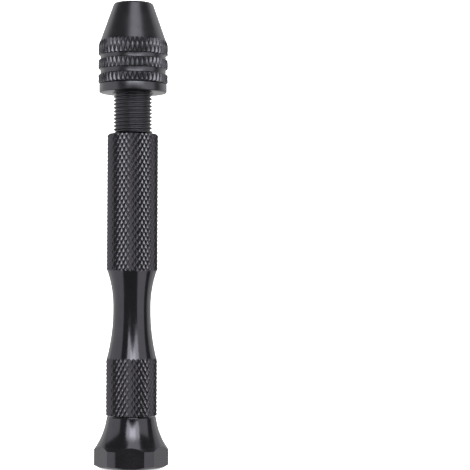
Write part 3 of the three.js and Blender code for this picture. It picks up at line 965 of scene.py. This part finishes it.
class BuildSleeve(bpy.types.Operator):
    """Turn the chuck's sleeve with its bands, grooves and cone, and knurl the bands"""

    bl_idname = "pinvise.sleeve"
    bl_label = "Chuck sleeve"

    def execute(self, context):
        s = context.scene.pinvise_chuck
        finishes = context.scene.pinvise_finishes
        low, high = SLEEVE_LOW.z, SLEEVE_HIGH.z

        def up(millimetres):
            """A height above the chuck's rear face"""
            return CORE_LOW.z + millimetres * MM

        edge = 0.25 * MM
        stock = turned(
            "sleeve_knurled",
            [
                (s.bore_radius, low),
                (s.band_radius - edge, low),
                (s.band_radius, low + edge),
                (s.band_radius, up(3.6)),
                (s.groove_radius, up(3.8), 0.12 * MM),
                (s.groove_radius, up(4.75), 0.12 * MM),
                (s.band_radius, up(4.95)),
                (s.band_radius, up(6.65)),
                (s.groove_radius, up(6.85), 0.12 * MM),
                (s.groove_radius, up(7.65), 0.12 * MM),
                (s.band_radius, up(7.85)),
                (s.band_radius, up(10.0)),
                (s.cone_base, up(10.8), 0.5 * MM),
                (s.cone_tip, up(18.2), 0.15 * MM),
                (s.cone_tip - 0.3 * MM, high, 0.1 * MM),
                (s.mouth_radius, high, 0.1 * MM),
                (NUT_FRONT, NUT_HIGH.z + NUT_GAP),
                (NUT_SEAT, NUT_HIGH.z - NUT_TAPER),
                (NUT_SEAT, NUT_LOW.z - NUT_GAP),
                (s.bore_radius, NUT_LOW.z - NUT_GAP),
            ],
        )
        knurled = oxide_knurled(finishes, s.band_radius)

        # The knurl runs on over the foot of the cone, where its root follows the taper and it fades out
        root = s.band_radius - s.knurl_depth
        machine(
            stock, knurl_tree(), knurled, around=s.knurl_count, detail=2, pitch=s.knurl_pitch,
            bottom=up(0) + s.knurl_start, top=up(10.75), root=root, rise=s.knurl_point, valley=0.0,
            power=1.4, taper_bottom=up(9.7), taper_root=root - 0.2 * MM,
        )
        skin = s.groove_radius + 0.02 * MM
        band_end = up(10.4)
        dress(
            stock, oxide_turned(finishes),
            (knurled, lambda radius, height: radius > skin and height < band_end),
        )
        hand_over(stock, "sleeve_body", "black_oxide_steel", "chuck_sleeve")
        return {"FINISHED"}


class BuildJaws(bpy.types.Operator):
    """Turn the jaws, cut their gripping wedges and the thread teeth on their flanks"""

    bl_idname = "pinvise.jaws"
    bl_label = "Jaws"

    def execute(self, context):
        s = context.scene.pinvise_chuck
        finish = ground_steel(context.scene.pinvise_finishes)
        tip = jaw_tip()
        spare = 2 * MM
        rod = turned(
            "jaw_blank",
            [(0, -s.jaw_length), (s.jaw_radius, -s.jaw_length, 0.2 * MM), (s.jaw_radius, spare), (0, spare)],
            SMALL_SEGMENTS,
        )
        lean = Matrix.Rotation(-JAW_TILT, 4, "Y")
        rod.data.transform(Matrix.Translation((JAW_TIP_OFFSET, 0, tip)) @ lean)

        # Three wedges share the middle, each with a narrow gripping face
        grip, gap, reach = 0.15 * MM, 0.05 * MM, 20 * MM
        slope = math.tan(math.pi / 3)
        clearance = gap / math.cos(math.pi / 3)
        near, far = grip * slope - clearance, reach * slope - clearance
        outline = [(grip, -near), (reach, -far), (reach, far), (grip, near)]
        below = 15 * MM
        carve(rod, prism("wedge", outline, tip - below, tip), "INTERSECT")

        # The teeth lie on rings about the drill's axis, so one comb turned about it cuts them all
        pitch, teeth = 0.8 * MM * math.cos(JAW_TILT), 6
        deep, clear = 0.2 * MM, -0.1 * MM
        first = tip - s.jaw_length * math.cos(JAW_TILT) + 0.5 * MM
        comb = []
        for i in range(teeth):
            base = first + pitch * i
            for up, cut in ((0, clear), (0.25, deep), (0.5, deep), (0.75, clear)):
                height = base + pitch * up
                comb.append((jaw_flank(s, height) - cut, height))
        outside = 8 * MM
        profile = [(outside, comb[0][1]), (outside, comb[-1][1]), *reversed(comb)]
        carve(rod, turned("comb", profile, SMALL_SEGMENTS))

        for i in range(s.jaw_count):
            jaw = rod.copy()
            jaw.data = rod.data.copy()
            jaw.name = f"jaw_{i + 1}_ground"
            context.scene.collection.objects.link(jaw)
            jaw.data.transform(Matrix.Rotation(2 * math.pi * i / s.jaw_count, 4, "Z"))
            dress(jaw, finish)
            hand_over(jaw, f"jaw_body_{i + 1}", "jaw_steel", f"jaw_{i + 1}")
        bpy.data.objects.remove(rod)
        return {"FINISHED"}


class BuildNut(bpy.types.Operator):
    """Turn the split nut that drives the jaws and cut it in two"""

    bl_idname = "pinvise.nut"
    bl_label = "Split nut"

    def execute(self, context):
        s = context.scene.pinvise_chuck
        finish = zinc_plate(context.scene.pinvise_finishes)
        low, high = NUT_LOW.z, NUT_HIGH.z
        clearance, press, split = 0.12 * MM, 0.03 * MM, 0.2 * MM
        for side, name in ((1, "nut_half_1"), (-1, "nut_half_2")):
            half = turned(
                f"{name}_turned",
                [
                    (jaw_flank(s, low) + clearance, low),
                    (NUT_SEAT - press, low, 0.1 * MM),
                    (NUT_SEAT - press, high - NUT_TAPER),
                    (NUT_FRONT - press, high, 0.08 * MM),
                    (jaw_flank(s, high) + clearance, high),
                ],
                SMALL_SEGMENTS,
            )
            near, far = split / 2, 8 * MM
            y_low, y_high = (near, far) if side > 0 else (-far, -near)
            outline = [(-far, y_low), (far, y_low), (far, y_high), (-far, y_high)]
            carve(half, prism("block", outline, low - MM, high + MM), "INTERSECT")
            dress(half, finish)
            hand_over(half, "sleeve_body", "plain_steel", name)
        return {"FINISHED"}


class BuildCap(bpy.types.Operator):
    """Turn the palm cap's flare and mill its six flats"""

    bl_idname = "pinvise.cap"
    bl_label = "Palm cap"

    def execute(self, context):
        s = context.scene.pinvise_cap
        finishes = context.scene.pinvise_finishes
        top = CAP_HIGH.z
        seat_radius = 4.03 * MM
        seat = BEARING_LOW.z
        rim = 0.22 * MM
        cap = turned(
            "cap_hexagonal",
            [
                (s.throat_radius, 0, 0.15 * MM),
                (s.corner_radius - s.chamfer_inset, 0),
                (s.corner_radius, s.chamfer),
                *arc((s.corner_radius, s.flare_bottom), (s.neck_radius, top - rim), s.flare_arc, 40),
                (s.neck_radius - rim * 0.55, top),
                (seat_radius, top),
                (seat_radius, seat),
                (s.throat_radius, seat),
            ],
        )
        milled = anodised_milled(finishes)
        machine(cap, flats_tree(), milled, count=6, across=s.across_flats)

        # The flats run up a little into the flare and end at the corners, which stay as turned
        margin = 0.003 * MM
        corner = s.corner_radius - margin
        flat = s.across_flats / 2 - margin
        flat_end = s.flare_bottom + 1.5 * MM

        def on_flat(radius, height):
            return s.chamfer < height < flat_end and flat < radius < corner

        dress(cap, anodised_turned(finishes), (milled, on_flat))
        hand_over(cap, "cap_body", "black_anodised_aluminium", "end_cap", crease=12)
        return {"FINISHED"}


class BuildBearing(bpy.types.Operator):
    """Make the ball bearing's rings and balls, and finish its cage and shields"""

    bl_idname = "pinvise.bearing"
    bl_label = "Ball bearing"

    def execute(self, context):
        steel = bearing_steel(context.scene.pinvise_finishes)
        low, high = BEARING_LOW.z, BEARING_HIGH.z
        outside = BEARING_HIGH.x
        middle = (low + high) / 2
        circle, ball, groove = 2.75 * MM, 0.75 * MM, 0.78 * MM
        outer_shoulder, inner_shoulder, bore = 3.3 * MM, 2.2 * MM, 1.5 * MM
        edge = 0.15 * MM

        def race(shoulder, way):
            """The ball groove's arc in a ring with this shoulder, upwards or downwards"""
            half = math.sqrt(groove**2 - (circle - shoulder) ** 2) * way
            return arc((shoulder, middle - half), (shoulder, middle + half), groove, 12)

        outer = turned(
            "bearing_outer_ring_ground",
            [
                (outer_shoulder, low),
                (outside, low, edge),
                (outside, high, edge),
                (outer_shoulder, high),
                *race(outer_shoulder, -1),
            ],
            SMALL_SEGMENTS,
        )
        inner = turned(
            "bearing_inner_ring_ground",
            [
                (bore, low, 0.08 * MM),
                (inner_shoulder, low),
                *race(inner_shoulder, 1),
                (inner_shoulder, high),
                (bore, high, 0.08 * MM),
            ],
            SMALL_SEGMENTS,
        )
        count = 7
        balls = turned("bearing_balls_polished", [(0, low), (bore, low), (0, high)], 8)
        machine(balls, balls_tree(), steel, count=count, circle=circle, ball=ball, height=middle)
        for ring in (outer, inner, balls):
            dress(ring, steel)
        hand_over(outer, "cap_body", "bearing_steel", "bearing_outer_ring")
        hand_over(inner, "handle_body", "bearing_steel", "bearing_inner_ring")
        hand_over(balls, "ball_set", "bearing_steel", *[f"bearing_ball_{i + 1}" for i in range(count)])
        for name in ("bearing_shield_lower", "bearing_shield_upper"):
            refinish(name, steel)
        refinish("bearing_cage", cage_nylon(context.scene.pinvise_finishes))
        return {"FINISHED"}


def refinish(node, material):
    """Give a CAD node that keeps its shape a better material."""
    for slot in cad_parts[node].material_slots:
        slot.link = "OBJECT"
        slot.material = material


class BuildPivot(bpy.types.Operator):
    """Make the screw that the cap swivels on, and finish its washer"""

    bl_idname = "pinvise.pivot"
    bl_label = "Pivot screw and washer"

    def execute(self, context):
        finish = zinc_plate(context.scene.pinvise_finishes)
        low, high = SCREW_LOW.z, SCREW_HIGH.z
        head, shank, head_height = 2.75 * MM, 1.4 * MM, 2 * MM
        plain_shank, thread_depth = 2.5 * MM, 0.27 * MM
        screw = turned(
            "pivot_screw_threaded",
            [
                (0, low),
                (head * 0.55, low + 0.1 * MM, 1.5 * MM),
                (head, low + 0.7 * MM, 0.5 * MM),
                (head, low + head_height, 0.12 * MM),
                (shank, low + head_height),
                (shank, high - 0.5 * MM),
                (shank / 2, high),
                (0, high),
            ],
            SMALL_SEGMENTS,
        )
        long, wide, deep = 1.4 * MM, 0.35 * MM, 1.1 * MM
        for x, y in ((long, wide), (wide, long)):
            carve(screw, prism("recess", [(-x, -y), (x, -y), (x, y), (-x, y)], low - MM, low + deep))
        machine(
            screw, thread_tree(), finish, pitch=0.5 * MM, start=low + head_height + plain_shank,
            turns=12.0, crest=shank, root=shank - thread_depth,
        )
        dress(screw, finish)
        hand_over(screw, "handle_body", "plain_steel", "pivot_screw")
        refinish("pivot_washer", finish)
        return {"FINISHED"}


# --- Stage ----------------------------------------------------------------------------------------


def softbox(name, radiance, azimuths, elevations, distance, height):
    """An even rectangular light that fills a window, seen from a height on the axis. Azimuths run from the
    camera's side towards +X, and both they and the elevations are in degrees."""
    a, e = (math.radians(sum(pair) / 2) for pair in (azimuths, elevations))
    half_a, half_e = (math.radians(pair[1] - pair[0]) / 2 for pair in (azimuths, elevations))
    way = Vector((math.sin(a) * math.cos(e), -math.cos(a) * math.cos(e), math.sin(e)))
    light = bpy.data.lights.new(name, "AREA")
    light.shape = "RECTANGLE"
    light.size = 2 * distance * math.cos(e) * math.tan(half_a)
    light.size_y = 2 * distance * math.tan(half_e)
    light.energy = radiance * math.pi * light.size * light.size_y
    lamp = bpy.data.objects.new(name, light)
    lamp.location = Vector((0, 0, height)) + way * distance
    lamp.rotation_mode = "QUATERNION"
    lamp.rotation_quaternion = way.to_track_quat("Z", "Y")
    lamp.visible_camera = False
    bpy.context.scene.collection.objects.link(lamp)
    return lamp


class BuildStage(bpy.types.Operator):
    """Set up the pale floor and backdrop, the softboxes and the camera"""

    bl_idname = "pinvise.stage"
    bl_label = "Stage"

    def execute(self, context):
        s = context.scene.pinvise_studio
        scene = context.scene
        scene.view_settings.view_transform = "Standard"

        # Floor and backdrop are one dish, so no edge shows behind the drill
        radius, cove, wall = 1.6, 0.5, 1.6
        skin = 0.0005
        dish = turned(
            "studio_floor",
            [(0, -2 * skin), (radius + skin, -2 * skin, cove), (radius + skin, wall), (radius, wall),
             (radius, -skin, cove), (0, -skin)],
            64,
        )
        # Matt white backdrop paper, lit evenly so that it shows no shadow, and clear from behind
        paper, tree, principled, _ = start_material(
            "matt_white_paper", base_color=(*scene.pinvise_finishes.floor, 1), roughness=0.9,
            emission_color=(1.0, 1.0, 1.0, 1.0), emission_strength=s.floor_glow,
        )
        clear = add_node(tree, "ShaderNodeBsdfTransparent").outputs[0]
        back = add_node(tree, "ShaderNodeNewGeometry").outputs["Backfacing"]
        output = next(node for node in tree.nodes if node.type == "OUTPUT_MATERIAL")
        seen = add_node(tree, "ShaderNodeMixShader", {0: back, 1: principled.outputs[0], 2: clear})
        tree.links.new(seen.outputs[0], output.inputs["Surface"])
        dress(dish, paper)
        dish.data.shade_smooth()
        dish.visible_glossy = False
        dish.visible_shadow = False

        world = bpy.data.worlds.new("room")
        scene.world = world
        world.use_nodes = True
        background = world.node_tree.nodes["Background"]
        background.inputs["Color"].default_value = (1, 1, 1, 1)
        background.inputs["Strength"].default_value = s.surround

        # The azimuths and elevations that each light fills, and its distance in metres
        middle = (CAD_BOX[0].z + CAD_BOX[1].z) / 2
        for name, radiance, azimuths, elevations, distance in (
            ("key_softbox", s.key, (-20, 36), (10.5, 38), 0.6),
            ("key_core", s.key * 0.9, (-6, 20), (20, 37), 0.6),
            ("key_top", s.key * 0.7, (-20, 38), (38, 43), 0.6),
            ("key_spill", s.key * 0.42, (-16, 44), (45, 68), 0.6),
            ("right_softbox", s.side_light, (33, 80), (-45, 28), 0.5),
            ("left_softbox", s.side_light * 0.9, (-112, -49), (-45, 28), 0.5),
            ("right_rim", s.rim, (104, 140), (-45, 50), 0.6),
            ("left_rim", s.rim * 0.95, (-140, -112), (-45, 50), 0.6),
            ("back_screen", s.back, (140, 220), (-50, 65), 0.7),
        ):
            softbox(name, radiance, azimuths, elevations, distance, middle)

        # A pointed black flag stands in the key light's lower edge and splits its reflection in two
        near = 0.5
        half_width, foot_rise, tip_rise = 20, 8, 21
        half, foot, tip = (
            near * math.tan(math.radians(degrees)) for degrees in (half_width, foot_rise, tip_rise)
        )
        swing = math.radians(6)
        flag = prism("black_flag", [(-half, foot), (half, foot), (0, tip)], 0, 2 * MM)
        stand = Matrix.Translation((0, -near, middle)) @ Matrix.Rotation(math.pi / 2, 4, "X")
        flag.data.transform(Matrix.Rotation(swing, 4, "Z") @ stand)

        # Black wool felt: matt, and all but swallows the light
        dress(flag, start_material("black_felt", base_color=(0.01, 0.01, 0.01, 1), roughness=1.0)[0])
        flag.visible_camera = False

        camera = bpy.data.objects.new("camera", bpy.data.cameras.new("camera"))
        camera.data.angle = s.view
        camera.data.clip_start, camera.data.clip_end = 0.01, 10
        camera.data.dof.use_dof = False
        scene.collection.objects.link(camera)
        tilt = math.pi / 2 + math.atan((s.aim - s.height) / s.distance)
        pose = Matrix.Translation((s.side, -s.distance, s.height)) @ Matrix.Rotation(tilt, 4, "X")
        camera.matrix_world = Matrix.Rotation(s.turn, 4, "Z") @ pose @ Matrix.Rotation(s.roll, 4, "Z")
        scene.camera = camera
        return {"FINISHED"}


class PinVisePanel(bpy.types.Panel):
    """Lists the drill's pieces and the stage"""

    bl_idname = "VIEW3D_PT_pinvise"
    bl_label = "Pin Vise Drill"
    bl_space_type = "VIEW_3D"
    bl_region_type = "UI"
    bl_category = "Pin Vise"

    def draw(self, context):
        for operator in OPERATORS:
            self.layout.operator(operator.bl_idname)
        for group in GROUPS:
            sizes = getattr(context.scene, group)
            box = self.layout.box()
            for name in sizes.bl_rna.properties.keys():
                if name not in ("rna_type", "name"):
                    box.prop(sizes, name)


OPERATORS = (
    BuildHandle, BuildChuckBody, BuildSleeve, BuildJaws, BuildNut,
    BuildCap, BuildBearing, BuildPivot, BuildStage,
)
GROUPS = {
    "pinvise_handle": HandleSizes,
    "pinvise_chuck": ChuckSizes,
    "pinvise_cap": CapSizes,
    "pinvise_finishes": Finishes,
    "pinvise_studio": Studio,
}


def register():
    for group in GROUPS.values():
        bpy.utils.register_class(group)
    for name, group in GROUPS.items():
        setattr(bpy.types.Scene, name, PointerProperty(type=group))
    for item in (*OPERATORS, PinVisePanel):
        bpy.utils.register_class(item)


def unregister():
    for item in (PinVisePanel, *reversed(OPERATORS)):
        bpy.utils.unregister_class(item)
    for name, group in reversed(GROUPS.items()):
        delattr(bpy.types.Scene, name)
        bpy.utils.unregister_class(group)


def main():
    """Build every piece and the stage"""
    register()
    for operator in OPERATORS:
        family, name = operator.bl_idname.split(".")
        if getattr(getattr(bpy.ops, family), name)() != {"FINISHED"}:
            raise RuntimeError(f"{operator.bl_label} was not built")


if __name__ == "__main__":
    main()
